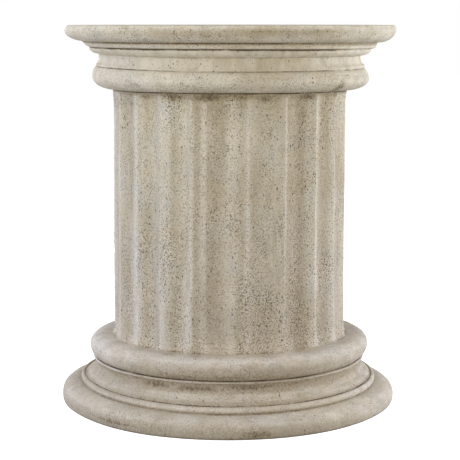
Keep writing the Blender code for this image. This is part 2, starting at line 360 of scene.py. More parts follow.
def slab_outline(side):
    """The slab's rounded edge, from its flat top to its underside."""
    level, top_round, low_round = side["nose_level"], side["nose_top"], side["slab_low"]
    top_edge = side["nose_radius"] - top_round
    low_edge = side["nose_radius"] - low_round
    drop = level - side["slab_under"]
    return (arc(top_edge, level, top_round, TOTAL_HEIGHT - level, 90, 0)
            + arc(low_edge, level, low_round, drop, 0, -90, 25, side["fullness"]))


def neck_outline(side):
    """The hollow neck and the small bead on the upper torus."""
    radius, bead, line_4 = side["neck_radius"], side["bead"], side["line_4"]
    level = side["line_3"] - NECK_STRAIGHT
    bead_top = line_4 + side["bead_rise"]
    return [(radius, side["line_3"]), (radius, level),
            *arc(bead, level, bead - radius, level - bead_top, 180, 270),
            (bead + BEAD_BULGE, (line_4 + bead_top) / 2), (bead - BEAD_TUCK, line_4)]


def upper_torus_outline(side):
    """The torus under the neck, down to the head of the shaft."""
    bead, swell, level = side["bead"], side["swell"], side["torus_level"]
    core_reach = bead + swell - TORUS_CORE
    return (arc(bead, level, swell, side["line_4"] - level, 90, 0, 17, side["torus_top"])
            + arc(TORUS_CORE, level, core_reach, level - side["torus_low"], 0, -90, 17))


def cap_strokes(side):
    """Slab, fascia, ovolo, neck and upper torus of one side: each stroke has its points, the
    spacing of its rows and the groove at its end."""
    slab = slab_outline(side)
    fascia = [(side["fascia"], side["line_1"]), (side["fascia_low"], side["line_2"])]
    ovolo_top = side["line_2"] - OVOLO_SET_BACK
    ovolo_reach = side["ovolo"] - side["neck_radius"]
    ovolo = arc(side["neck_radius"], ovolo_top, ovolo_reach, ovolo_top - side["line_3"], 0, -90)
    return [([(0.0, TOTAL_HEIGHT), slab[0]], DISC_ROW, None),
            (slab + fascia[:1], ROW, "under_slab"),
            (fascia, FINE_ROW, None),
            ([fascia[1], (side["ovolo"], ovolo_top)], FINE_ROW, "under_fascia"),
            (ovolo, FINE_ROW, "under_ovolo"),
            (neck_outline(side), FINE_ROW, "above_torus"),
            (upper_torus_outline(side), ROW, "shaft_head")]


def shaft_strokes(side):
    """The arris line of the shaft, with its small flares under the capital and on the base."""
    head = (TORUS_CORE, side["torus_low"] - HEAD_GAP)
    return [([(TORUS_CORE, side["torus_low"]), head], FINE_ROW, None),
            ([head, *HEAD_FLARE], FINE_ROW, None),
            ([HEAD_FLARE[-1], *SHAFT_LINE], SHAFT_ROW, None),
            ([SHAFT_LINE[-1], *FOOT_FLARE], FINE_ROW, "shaft_foot")]


def base_strokes(side):
    """Base torus, thin fillet, scotia, reed and the wide bottom torus with its foot."""
    torus = [FOOT_FLARE[-1]]
    torus += arc(*BASE_TORUS_CENTRE, BASE_TORUS_REACH, BASE_TORUS_RISE, 84, 0, 13,
                 BASE_TORUS_FULLNESS)
    torus += arc(*BASE_TORUS_CENTRE, BASE_TORUS_REACH, BASE_TORUS_DROP, 0, -58)
    fillet = [torus[-1], *BASE_FILLET]
    scotia = [fillet[-1], *SCOTIA_HEAD]
    scotia += arc(*SCOTIA_CENTRE, SCOTIA_REACH, SCOTIA_DROP, 196, 238)
    scotia += [(SCOTIA_LOW_RADIUS, side["reed"] + SCOTIA_ABOVE_REED)]
    reed = arc(REED_RADIUS, side["reed"], REED_REACH, REED_RISE, 132, -60)
    foot_reach, foot_rise = FOOT_RADIUS - FOOT_INNER_RADIUS, side["foot_top"] - FOOT_NOSE_LEVEL
    foot = [(FOOT_HEAD_RADIUS, side["foot_top"])]
    foot += arc(FOOT_INNER_RADIUS, FOOT_NOSE_LEVEL, foot_reach, foot_rise, 84, 0, 19,
                side["shoulder"])
    foot += arc(FOOT_RADIUS - FOOT_EDGE, FOOT_NOSE_LEVEL, FOOT_EDGE, FOOT_EDGE_DROP, 0, -90, 13,
                FOOT_EDGE_FULLNESS)
    foot += [(FOOT_RADIUS - SOLE_INSET, 0.0)]
    return [(torus, ROW, "under_base_torus"),
            (fillet, FINE_ROW, "under_fillet"),
            (scotia, ROW, "above_reed"),
            (reed, FINE_ROW, "below_reed"),
            (foot, ROW, None),
            ([foot[-1], (0.0, 0.0)], DISC_ROW, None)]


def line_length(points):
    return sum(math.dist(before, after) for before, after in zip(points[:-1], points[1:]))


def point_along(points, share):
    """The point at this share of the line's length."""
    left = share * line_length(points)
    for before, after in zip(points[:-1], points[1:]):
        step = math.dist(before, after)
        if step > 0.0 and left <= step:
            part = left / step
            return tuple(low + (high - low) * part for low, high in zip(before, after))
        left -= step
    return points[-1]


def stroke_places(length, spacing, width_before, width_after):
    """Distances along a stroke at which it gets a row, closer together beside a groove. A stroke
    that is short for its grooves gets narrow, even rows."""
    start = [step * width_before for step in GROOVE_STEPS] if width_before else []
    close = [length - step * width_after for step in reversed(GROOVE_STEPS)] if width_after else []
    low = start[-1] if start else 0.0
    high = close[0] if close else length
    if high - low < spacing * SHORT_STROKE:
        count = max(2, round(length / NARROW_ROW))
        return [length * step / count for step in range(1, count + 1)]
    steps = max(1, math.ceil((high - low) / spacing))
    middle = [low + (high - low) * step / steps for step in range(1, steps)]
    return start + middle + close + [length]


def profile_rows():
    """One entry for each row of the mesh: its points at the left, front and right, its groove and
    how near it lies to that, and how hollow the profile is there."""
    sides = [cap_strokes(side) + shaft_strokes(side) + base_strokes(side)
             for side in (LEFT, FRONT, RIGHT)]
    rows = [{"points": [strokes[0][0][0] for strokes in sides], "groove": None, "share": 0.0}]
    groove_before = None
    for left, front, right in zip(*sides):
        length = line_length(front[0])
        groove_after = front[2]
        width_before = GROOVES[groove_before][0] if groove_before else 0.0
        width_after = GROOVES[groove_after][0] if groove_after else 0.0
        for place in stroke_places(length, front[1], width_before, width_after):
            points = [point_along(stroke[0], place / length) for stroke in (left, front, right)]
            row = {"points": points, "groove": None, "share": 0.0}
            for groove, width, distance in ((groove_before, width_before, place),
                                            (groove_after, width_after, length - place)):
                share = bump_at(distance, 0.0, width) if groove else 0.0
                if share > row["share"]:
                    row["groove"], row["share"] = groove, share
            rows.append(row)
        groove_before = groove_after
    measure_rows(rows)
    return rows


def measure_rows(rows):
    """Adds to each row its outward direction at the front, and how far the line around it lies
    outside it, in metres: above nought in a hollow, below nought on an edge."""
    line = [row["points"][1] for row in rows]
    whole = line_length(line)
    walked = 0.0
    for index, row in enumerate(rows):
        if index:
            walked += math.dist(line[index - 1], line[index])
        before, after = line[max(0, index - 1)], line[min(len(line) - 1, index + 1)]
        along_r, along_z = after[0] - before[0], after[1] - before[1]
        length = math.hypot(along_r, along_z)
        row["outward"] = (-along_z / length, along_r / length)
        back = point_along(line, max(0.0, walked - HOLLOW_REACH) / whole)
        forth = point_along(line, min(whole, walked + HOLLOW_REACH) / whole)
        middle = [(first + last) / 2 - own for first, last, own in zip(back, forth, line[index])]
        row["hollow"] = middle[0] * row["outward"][0] + middle[1] * row["outward"][1]


def side_shares(angle):
    """How much of the left, the front and the right profile an angle takes. The back takes
    half of each side."""
    side = math.sin(angle) ** 2
    facing = math.cos(angle) ** 2
    front = facing if math.cos(angle) > 0.0 else 0.0
    rest = (facing - front) / 2
    left = rest + (side if math.sin(angle) < 0.0 else 0.0)
    return left, front, 1.0 - left - front


def arris_angle(number):
    """Angle of an arris, counted from the plain strip's right edge round to its left edge."""
    first = PLAIN_STRIP_CENTRE + PLAIN_STRIP_WIDTH / 2
    pitch = (360.0 - PLAIN_STRIP_WIDTH) / FLUTE_COUNT
    phase = math.pi * SPACING_DRIFT_CYCLES * number / FLUTE_COUNT
    drifted = first + pitch * number + SPACING_DRIFT * math.sin(phase) ** 2
    return drifted + ARRIS_SHIFTS.get(number, 0.0)


def flute_stations():
    """For each step round the shaft: its angle, its flute and its place across that flute. Steps
    crowd a little towards the arrises. The plain strip has flute -1."""
    stations = []
    for flute in range(FLUTE_COUNT):
        start = arris_angle(flute)
        width = arris_angle(flute + 1) - start
        for step in range(FLUTE_STEPS):
            even = step / FLUTE_STEPS
            crowded = 0.5 - 0.5 * math.cos(math.pi * even)
            across = 0.5 * even + 0.5 * crowded
            stations.append((start + width * across, flute, across))
    start = arris_angle(FLUTE_COUNT)
    for step in range(STRIP_STEPS):
        across = step / STRIP_STEPS
        stations.append((start + PLAIN_STRIP_WIDTH * across, -1, across))
    return stations


def bump_at(value, centre, half_width):
    """One at the centre, fading to nought on both sides."""
    return math.exp(-((value - centre) / half_width) ** 2)


def smooth_share(value, start, end):
    """0 before start, 1 after end, eased between."""
    share = min(1.0, max(0.0, (value - start) / (end - start)))
    return share * share * (3.0 - 2.0 * share)


def drift(seed, *place):
    """A slow, even noise between -1 and 1."""
    x, y, z = place
    return noise.noise(Vector((x + 17.3 * seed, y - 5.1 * seed, z + 3.7 * seed)))


def flute_cut(flute, across, height):
    """How deep the flute is cut at this place, and how much of the full depth that is. Its lower
    end is rounded, so that the arrises stand on the base with broad feet."""
    if flute < 0:
        dish = math.sin(math.pi * across)
        return STRIP_DISH * dish, STRIP_WASH_AND_SHADE * dish
    flat = ARRIS_FLATS.get(flute, 0.0)
    inner = max(0.0, across - flat) / (1.0 - flat)
    skewed = inner ** FLUTE_SKEWS.get(flute, 1.0)
    bowl = 4.0 * skewed * (1.0 - skewed)
    unevenness = 1.0 + FLUTE_UNEVENNESS * drift(2, flute * 1.7, 0.0, height * 3.0)
    depth = FLUTE_DEPTH * FLUTE_DEPTHS.get(flute, 1.0) * unevenness
    end = FLUTE_END + FLUTE_END_DRIFT * drift(3, flute * 2.3, 0.0, 0.0)
    near_end = 1.0 - smooth_share(height, end, end + FLUTE_END_LENGTH)
    lost = FLUTE_RUN_OUT + FLUTE_RUN_OUT_DRIFT * drift(4, flute * 1.9, 0.0, 0.0)
    run_in = 1.0 - FLUTE_RUN_IN * smooth_share(height, *FLUTE_RUN_IN_LEVELS)
    share = bowl ** (1.0 + 1.4 * near_end) * (1.0 - lost * near_end) * run_in
    return depth * share, share


def arris_wear(flute, across, height):
    """How much of the arris is worn away here, in metres."""
    if flute < 0:
        return LEAST_WEAR
    edge_distance = min(across, 1.0 - across) * math.radians(MEAN_FLUTE_WIDTH) * SHAFT_RADIUS
    number = flute if across < 0.5 else flute + 1
    softness = SOFT_ARRISES.get(number, 0.20 + 0.20 * drift(5, number * 3.1, 0.0, 0.0))
    patch = 0.6 + 0.6 * drift(6, number * 1.9, 0.0, height * 14.0)
    chip = max(0.0, drift(7, number * 4.7, 0.0, height * 60.0) - CHIP_START)
    amount = LEAST_WEAR + SOFT_WEAR * softness * patch + CHIP_DEPTH * chip
    return amount * bump_at(edge_distance, 0.0, WEAR_REACH + SOFT_WEAR_REACH * softness)


def lean_at(height):
    """How far the piece stands off its axis at this height."""
    for (low, before), (high, after) in zip(LEAN[:-1], LEAN[1:]):
        if height <= high:
            return before + (after - before) * max(0.0, height - low) / (high - low)
    return LEAN[-1][1]


def turned_from(angle_deg, centre):
    """Degrees from one angle to another, the short way round."""
    return (angle_deg - centre + 180.0) % 360.0 - 180.0


def groove_strength(groove, angle):
    """How deep and dark a groove is at this angle, from nought to about one."""
    seed = FIRST_GROOVE_SEED + list(GROOVES).index(groove)
    slow = drift(seed, 1.7 * math.sin(angle), 1.7 * math.cos(angle), 0.0)
    quick = drift(seed, 9.0 * math.sin(angle), 9.0 * math.cos(angle), 2.0)
    front = 0.5 + 0.5 * math.cos(angle)
    open_share = 1.0
    for name, centre, half_width in FILLED:
        if name == groove:
            from_centre = turned_from(math.degrees(angle), centre)
            open_share *= 1.0 - FILLED_SHARE * bump_at(from_centre, 0.0, half_width)
    return open_share * min(1.15, max(0.12, 0.52 + 0.28 * front + 0.45 * slow + 0.55 * quick))


def mark_at(marks, angle_deg, height):
    """How strongly a table of marks marks this place."""
    mark = 0.0
    for centre, level, half_width, half_height, strength in marks:
        from_centre = turned_from(angle_deg, centre)
        reach = (from_centre / half_width) ** 2 + ((height - level) / half_height) ** 2
        if reach < MARK_END:
            mark = max(mark, strength * math.exp(-reach))
    return mark


def worked_point(row, station, place):
    """Moves a point of the plain turned form to where the finished casting has it, and says how
    much of a flute is cut there and how strong the groove is."""
    angle_deg, flute, across = station
    angle = math.radians(angle_deg)
    shares = side_shares(angle)
    radius = sum(share * point[0] for share, point in zip(shares, row["points"]))
    height = sum(share * point[1] for share, point in zip(shares, row["points"]))
    level_row = height
    groove = 0.0
    if row["groove"]:
        groove = row["share"] * groove_strength(row["groove"], angle)
        depth = GROOVES[row["groove"]][1] * groove
        radius -= row["outward"][0] * depth
        height -= row["outward"][1] * depth
    cut_share = 0.0
    if SHAFT_FOOT - 0.001 <= level_row < FLUTED_BELOW and radius < FLUTED_WITHIN:
        head_fade = 1.0 - smooth_share(level_row, *FLUTE_HEAD_LEVELS)
        cut, cut_share = flute_cut(flute, across, level_row)
        radius -= cut * head_fade + arris_wear(flute, across, level_row)
        if flute >= 0:
            pocket = 1.0 - smooth_share(level_row, SHAFT_FOOT, SHAFT_FOOT + 0.010)
            height -= FLUTE_POCKET * pocket * cut_share
            groove *= 0.25 + 1.1 * cut_share if pocket > 0.0 else 1.0
        angle += math.radians(SHAFT_TWIST * drift(8, flute * 1.3, 0.0, level_row * 5.0))
    across_x, across_y = math.sin(angle), -math.cos(angle)
    inside = smooth_share(min(height, TOTAL_HEIGHT - height), 0.0015, 0.0200)
    outer = smooth_share(radius, 0.10, 0.18)
    from_front = abs(math.degrees(math.atan2(across_x, -across_y)))
    pinch = FOOT_PINCH_LEFT if across_x < 0.0 else FOOT_PINCH_RIGHT
    pinch *= bump_at(from_front, FOOT_PINCH_ANGLE, FOOT_PINCH_WIDTH)
    radius -= pinch * (1.0 - smooth_share(height, *FOOT_PINCH_LEVELS)) * outer
    slow = drift(9, across_x * 1.6, across_y * 1.6, height * 9.0)
    quick = drift(10, across_x * 5.0, across_y * 5.0, height * 40.0)
    radius += (RADIAL_WOBBLE * slow + 0.5 * RADIAL_WOBBLE * quick) * outer
    level = drift(11, across_x * 1.3, across_y * 1.3, height * 4.0)
    height += LEVEL_WOBBLE * level * inside * outer
    reach = FOOT_RADIUS - BOX_CLEARANCE
    place.x = min(reach, max(-reach, radius * across_x + lean_at(height)))
    place.y = min(reach, max(-reach, radius * across_y))
    place.z = min(TOTAL_HEIGHT, max(0.0, height))
    return cut_share, groove


def spun_form(rows, step_count):
    """The front profile spun once round the axis, with each vertex knowing its row and step."""
    shape = bmesh.new()
    row_layer = shape.verts.layers.int.new("row")
    step_layer = shape.verts.layers.int.new("step")
    corners = []
    for index, row in enumerate(rows):
        radius, height = row["points"][1]
        corner = shape.verts.new((0.0, -radius, height))
        corner[row_layer] = index
        corners.append(corner)
    edges = [shape.edges.new(pair) for pair in zip(corners[:-1], corners[1:])]
    bmesh.ops.spin(shape, geom=corners + edges, cent=(0, 0, 0), axis=(0, 0, 1),
                   angle=math.tau, steps=step_count, use_merge=True, use_duplicate=False)
    bmesh.ops.remove_doubles(shape, verts=shape.verts, dist=0.00002)
    turn = math.tau / step_count
    for corner in shape.verts:
        angle = math.atan2(corner.co.x, -corner.co.y)
        corner[step_layer] = round(angle / turn) % step_count
    return shape, row_layer, step_layer


def bands_at(bands, height):
    """The sum of a table of bands at this height."""
    return sum(strength * bump_at(height, level, half_height)
               for level, half_height, strength in bands)


def dirt_and_shade_at(row, angle_deg, height, on_shaft):
    """How much dirt lies on this place, apart from the wash in its recesses, with painted shade on
    the downward faces of the base and on the slab's lower front, and below nought painted light in
    the lighter runs down the shaft.
    """
    facing = max(0.0, math.cos(math.radians(angle_deg))) ** 2
    leftward = max(0.0, -math.sin(math.radians(angle_deg))) ** 2
    if on_shaft:
        runs = sum(strength * bump_at(turned_from(angle_deg, run), 0.0, half_width)
                   for run, half_width, strength in DIRT_RUNS_AND_PAINTED_LIGHT)
        return runs + facing * bands_at(SHAFT_BANDS, height)
    if height < BASE_TOP:
        under = max(0.0, -row["outward"][1])
        splashes = FOOT_SPLASHES * (1.0 - smooth_share(height, *FOOT_SPLASH_LEVELS))
        splashes += bands_at(BASE_BANDS, height)
        # Downward-facing surfaces get painted shade along with the dirt
        dirt = UNDERSIDE_DIRT_AND_SHADE * under + (BASE_DIRT + splashes) * (0.25 + 0.75 * facing)
        dirt += LEFT_DIRT * leftward * (1.0 - smooth_share(height, *LEFT_DIRT_LEVELS))
        return dirt * (1.0 - smooth_share(height, *BASE_TOP_LEVELS))
    if OVOLO_LEVELS[0] < height < OVOLO_LEVELS[1]:
        return OVOLO_DIRT * leftward
    # Painted shade on the slab's lower front
    return facing * bands_at(SLAB_SHADE_BANDS, height) if height > SLAB_BOTTOM else 0.0


def edge_wear_and_neck_light(row, station, height, on_shaft, on_neck):
    """How worn and pale this place is, from nought to one; on the neck this paleness is painted
    light.
    """
    angle_deg, flute, across = station
    if on_shaft:
        near_arris = min(across, 1.0 - across)
        if flute < 0:
            near_arris *= PLAIN_STRIP_WIDTH * FLUTE_COUNT / 360.0
        return 0.8 * bump_at(near_arris, 0.0, 0.09)
    # The neck is painted pale, as painted light where the slab and ovolo shade it
    if on_neck:
        leftward = max(0.0, -math.sin(math.radians(angle_deg))) ** 2
        return 0.95 * (1.0 - 0.5 * leftward * smooth_share(height, *NECK_LIGHT_LEVELS))
    return min(1.0, max(0.0, -row["hollow"] / FULL_HOLLOW))


def finish_at(row, station, cut_share, groove, height):
    """What the finish knows of one place: its wash and painted shade, wear, painted light on the
    neck, grooves, stains, pits and grain.
    """
    angle_deg, flute, across = station
    on_shaft = SHAFT_FOOT < height < SHAFT_HEAD and row["points"][1][0] < SHAFT_REACH
    on_neck = NECK_LEVELS[0] < height < NECK_LEVELS[1]
    # The neck keeps no wash or painted shade in its hollow, as part of its painted light
    held = 0.0 if on_neck else 1.0
    if any(low < height < high for low, high in (WIPED_ON_SHAFT if on_shaft else WIPED_ON_BASE)):
        held = WIPED_REST
    # Wash and painted shade in the flutes, heavier on each flute's left wall, which faces away from
    # the main light
    wiped = (1.40 - across) * FLUTE_SHADE_AND_WASH_STRENGTHS.get(flute, 1.0)
    hollow = max(0.0, row["hollow"] / FULL_HOLLOW) * held + FLUTE_WASH_AND_SHADE * wiped * cut_share
    hollow += dirt_and_shade_at(row, angle_deg, height, on_shaft)
    # Darker towards the bottom edge of the foot
    bottom_edge = BOTTOM_EDGE_DARKENING * bump_at(height, 0.0, BOTTOM_EDGE_DARKENING_HEIGHT)
    under = max(0.0, -row["outward"][1])
    # Thinner grain and brushed marks on the neck, as part of its painted light
    turned_grain = 0.15 if on_neck else min(1.0, 0.50 + 0.45 * under)
    brushed = 0.12 if on_neck else 1.0
    return {"hollow": min(1.2, hollow),
            "edge": edge_wear_and_neck_light(row, station, height, on_shaft, on_neck),
            "groove": GROOVES[row["groove"]][2] * groove if row["groove"] else 0.0,
            "stain": max(bottom_edge, mark_at(STAINS, angle_deg, height)),
            "peppered": mark_at(PEPPERED, angle_deg, height),
            "sandy": 1.0 if on_shaft else turned_grain,
            "turned": 0.0 if on_shaft else brushed}


def cast_pedestal(material):
    """The casting: spun, fluted and worn. What its finish needs is kept as attributes."""
    rows = profile_rows()
    stations = flute_stations()
    shape, row_layer, step_layer = spun_form(rows, len(stations))
    layers = {name: shape.verts.layers.float.new(name) for name in FINISH_ATTRIBUTES}
    for corner in shape.verts:
        row, station = rows[corner[row_layer]], stations[corner[step_layer]]
        cut_share, groove = worked_point(row, station, corner.co)
        finish = finish_at(row, station, cut_share, groove, corner.co.z)
        for name, layer in layers.items():
            corner[layer] = finish[name]
    bmesh.ops.recalc_face_normals(shape, faces=shape.faces)
    for face in shape.faces:
        face.smooth = True
    mesh = bpy.data.meshes.new("stone_casting")
    shape.to_mesh(mesh)
    shape.free()
    mesh.materials.append(material)
    casting = bpy.data.objects.new("stone_casting", mesh)
    bpy.context.scene.collection.objects.link(casting)
    return casting


def new_group(name, inputs, outputs):
    """An empty shader group with named inputs and outputs."""
    group = bpy.data.node_groups.new(name, "ShaderNodeTree")
    for socket_name, kind, default in inputs:
        socket = group.interface.new_socket(socket_name, in_out="INPUT", socket_type=kind)
        if default is not None:
            socket.default_value = default
    for socket_name, kind in outputs:
        group.interface.new_socket(socket_name, in_out="OUTPUT", socket_type=kind)
    return group


def add_node(tree, kind, **settings):
    node = tree.nodes.new(kind)
    for name, value in settings.items():
        setattr(node, name, value)
    return node


def feed(tree, socket, value):
    """Links a socket, or sets it to a plain value."""
    if isinstance(value, (int, float, tuple)):
        socket.default_value = value
    else:
        tree.links.new(value, socket)


def sum_node(tree, kind, operation, values):
    """A maths node of this kind on links or plain values. Its output is handed back."""
    node = add_node(tree, kind, operation=operation)
    for socket, value in zip(node.inputs, values):
        feed(tree, socket, value)
    return node.outputs[0]


def math_node(tree, operation, *values):
    return sum_node(tree, "ShaderNodeMath", operation, values)


def vector_node(tree, operation, *values):
    return sum_node(tree, "ShaderNodeVectorMath", operation, values)


def ramp_between(tree, value, low, high):
    """Nought at low, one at high, straight between."""
    node = linked(tree, add_node(tree, "ShaderNodeMapRange", clamp=True),
                  Value=value, From_Min=low, From_Max=high)
    return node.outputs[0]


def mix_colour(tree, factor, first, second, blend="MIX"):
    """The first colour, with the second over it by the factor."""
    node = add_node(tree, "ShaderNodeMix", data_type="RGBA", blend_type=blend)
    sockets = (node.inputs[0], node.inputs[6], node.inputs[7])
    for socket, value in zip(sockets, (factor, first, second)):
        feed(tree, socket, value)
    return node.outputs[2]


def noise_value(tree, vector, scale, detail, roughness, distortion=0.0):
    """An even noise of this scale, from nought to one."""
    node = linked(tree, add_node(tree, "ShaderNodeTexNoise"), Vector=vector, Scale=scale,
                  Detail=detail, Roughness=roughness, Distortion=distortion)
    return node.outputs["Fac"]


def linked(tree, node, **inputs):
    """Feeds the named inputs of a node with links or plain values."""
    for name, value in inputs.items():
        feed(tree, node.inputs[name.replace("_", " ")], value)
    return node


def stretched(tree, vector, upward):
    """The same pattern place with its heights scaled, so that marks grow tall or flat."""
    return vector_node(tree, "MULTIPLY", vector, (1.0, 1.0, upward))


def product(tree, *values):
    """All the values multiplied together."""
    result = values[0]
    for value in values[1:]:
        result = math_node(tree, "MULTIPLY", result, value)
    return result


def share_of(tree, value, low, high, *factors):
    """How far a value lies from low to high, times the factors."""
    return product(tree, ramp_between(tree, value, low, high), *factors)


def pit_group():
    """Small air holes: round spots that come and go in clusters. Cells is the number of cells in
    a metre, Share says how many cells of a cluster hold a pit, Extra adds pits outside them."""
    group = new_group("air_holes",
                      [("Vector", "NodeSocketVector", None), ("Cells", "NodeSocketFloat", 300.0),
                       ("Share", "NodeSocketFloat", 0.5), ("Extra", "NodeSocketFloat", 0.0),
                       ("Offset", "NodeSocketVector", (0.0, 0.0, 0.0))],
                      [("Mask", "NodeSocketFloat")])
    ins = group.nodes.new("NodeGroupInput").outputs
    outs = group.nodes.new("NodeGroupOutput").inputs
    moved = vector_node(group, "ADD", ins["Vector"], ins["Offset"])
    tall = stretched(group, moved, 0.58)
    bend = linked(group, add_node(group, "ShaderNodeTexNoise"), Vector=tall, Scale=300.0)
    bent = vector_node(group, "MULTIPLY_ADD", bend.outputs["Color"], PIT_BEND, tall)
    cells = linked(group, add_node(group, "ShaderNodeTexVoronoi", feature="F1"),
                   Vector=bent, Scale=ins["Cells"])
    pick = linked(group, add_node(group, "ShaderNodeSeparateColor"), Color=cells.outputs["Color"])
    cluster = noise_value(group, stretched(group, moved, 0.45), scale=26.0, detail=3.0,
                          roughness=0.6)
    clustered = share_of(group, cluster, 0.44, 0.66, ins["Share"])
    wanted = math_node(group, "ADD", clustered, ins["Extra"])
    held = math_node(group, "LESS_THAN", pick.outputs[0], wanted)
    size = math_node(group, "MULTIPLY_ADD", pick.outputs[1], 0.22, 0.13)
    gap = math_node(group, "SUBTRACT", size, cells.outputs["Distance"])
    group.links.new(share_of(group, gap, 0.0, 0.10, held), outs["Mask"])
    return group


def wash_and_shade_group():
    """Brown-grey wash that was wiped off the high places and stayed in the low ones; in recesses it
    also stands for painted shade. Amount is how low a place lies, Start is the amount at which the
    wash begins."""
    group = new_group("recess_wash_and_shade",
                      [("Vector", "NodeSocketVector", None), ("Amount", "NodeSocketFloat", 0.0),
                       ("Start", "NodeSocketFloat", 0.35), ("Breakup", "NodeSocketFloat", 0.5),
                       ("Scale", "NodeSocketFloat", 38.0), ("Softness", "NodeSocketFloat", 0.55)],
                      [("Mask", "NodeSocketFloat")])
    ins = group.nodes.new("NodeGroupInput").outputs
    outs = group.nodes.new("NodeGroupOutput").inputs
    broken = noise_value(group, ins["Vector"], scale=ins["Scale"], detail=5.0, roughness=0.62)
    centred = math_node(group, "SUBTRACT", broken, 0.5)
    shifted = math_node(group, "MULTIPLY", centred, ins["Breakup"])
    total = math_node(group, "ADD", ins["Amount"], shifted)
    above = math_node(group, "SUBTRACT", total, ins["Start"])
    group.links.new(ramp_between(group, above, 0.0, ins["Softness"]), outs["Mask"])
    return group


def sand_group():
    """The sandy skin of the casting: tiny dark and pale grains, dense in tall drifting bands."""
    group = new_group("sand_grains",
                      [("Vector", "NodeSocketVector", None), ("Sandy", "NodeSocketFloat", 1.0)],
                      [("Dark", "NodeSocketFloat"), ("Pale", "NodeSocketFloat")])
    ins = group.nodes.new("NodeGroupInput").outputs
    outs = group.nodes.new("NodeGroupOutput").inputs
    place = ins["Vector"]
    bands = noise_value(group, stretched(group, place, 0.30), scale=30.0, detail=3.0,
                        roughness=0.55)
    patches = noise_value(group, place, scale=14.0, detail=3.0, roughness=0.55)
    dense = product(group, share_of(group, bands, 0.36, 0.60), share_of(group, patches, 0.34, 0.56))
    amount = product(group, math_node(group, "MULTIPLY_ADD", dense, 0.66, 0.44), ins["Sandy"])
    grain = noise_value(group, place, scale=440.0, detail=1.0, roughness=0.55)
    fine = noise_value(group, place, scale=950.0, detail=1.0, roughness=0.5)
    both = math_node(group, "MULTIPLY_ADD", grain, 0.72, math_node(group, "MULTIPLY", fine, 0.28))
    group.links.new(share_of(group, both, 0.525, 0.64, amount), outs["Dark"])
    group.links.new(share_of(group, both, 0.475, 0.36, amount), outs["Pale"])
    return group


def stone_ground(tree, place, edge, turned):
    """The stone itself: cream that drifts to warm and grey, tall streaks on the shaft, fine
    brushed marks on the turned mouldings, pale worn edges, and a pale neck of painted light."""
    broad = noise_value(tree, place, scale=6.0, detail=3.0, roughness=0.5)
    colour = mix_colour(tree, share_of(tree, broad, 0.38, 0.62), CREAM, WARM)
    patch = noise_value(tree, place, scale=22.0, detail=4.0, roughness=0.6, distortion=0.3)
    colour = mix_colour(tree, share_of(tree, patch, 0.46, 0.66, 0.75), colour, GREY)
    streak = noise_value(tree, stretched(tree, place, 0.16), scale=44.0, detail=3.0, roughness=0.6)
    upright = math_node(tree, "SUBTRACT", 1.0, turned)
    colour = mix_colour(tree, share_of(tree, streak, 0.48, 0.68, upright, 0.52), colour, WASH_AND_SHADE_LIGHT)
    brushed = noise_value(tree, stretched(tree, place, 5.0), scale=30.0, detail=5.0, roughness=0.65)
    colour = mix_colour(tree, share_of(tree, brushed, 0.50, 0.66, turned, 0.42), colour, WASH_AND_SHADE_LIGHT)
    colour = mix_colour(tree, share_of(tree, brushed, 0.47, 0.34, turned, 0.45), colour, PALE)
    breaks = noise_value(tree, stretched(tree, place, 0.5), scale=60.0, detail=4.0, roughness=0.6)
    # Pale on worn edges, and on the neck as painted light
    worn = product(tree, share_of(tree, edge, 0.10, 0.95), share_of(tree, breaks, 0.36, 0.62))
    return mix_colour(tree, product(tree, worn, 0.60), colour, PALE)


def washed_and_shaded(tree, place, colour, hollow, groove, stain):
    """The colour with the wash over it: in hollows, where it is also painted shade, in grooves and
    in stains.
    """
    wash = wash_and_shade_group()
    tall, flat = stretched(tree, place, 0.5), stretched(tree, place, 2.6)
    for amount, vector, start, breakup, scale, softness, strength, tint in (
            # The two hollow layers are the wash with painted shade in the recesses
            (hollow, tall, 0.20, 1.20, 34.0, 0.55, 0.55, WASH_AND_SHADE_LIGHT),
            (hollow, tall, 0.60, 1.50, 62.0, 0.45, 0.40, WASH_AND_SHADE_BROWN),
            (groove, place, 0.24, 1.35, 110.0, 0.46, 0.90, WASH_DARK),
            (stain, flat, 0.12, 0.90, 60.0, 0.50, 0.70, WASH_AND_SHADE_LIGHT),
            (stain, place, 0.45, 1.80, 210.0, 0.60, 0.80, WASH_DARK)):
        layer = add_node(tree, "ShaderNodeGroup", node_tree=wash)
        linked(tree, layer, Vector=vector, Amount=amount, Start=start, Breakup=breakup,
               Scale=scale, Softness=softness)
        colour = mix_colour(tree, product(tree, layer.outputs["Mask"], strength), colour, tint)
    return colour


def pit_mask(tree, place, peppered):
    """All the sizes of pits in one mask."""
    holes = pit_group()
    pitted = None
    for cells, share, extra, offset, strength in PITS:
        pits = add_node(tree, "ShaderNodeGroup", node_tree=holes)
        linked(tree, pits, Vector=place, Cells=cells, Share=share,
               Extra=product(tree, peppered, extra), Offset=(offset, offset, offset))
        mask = product(tree, pits.outputs["Mask"], strength)
        pitted = mask if pitted is None else math_node(tree, "MAXIMUM", pitted, mask)
    return pitted


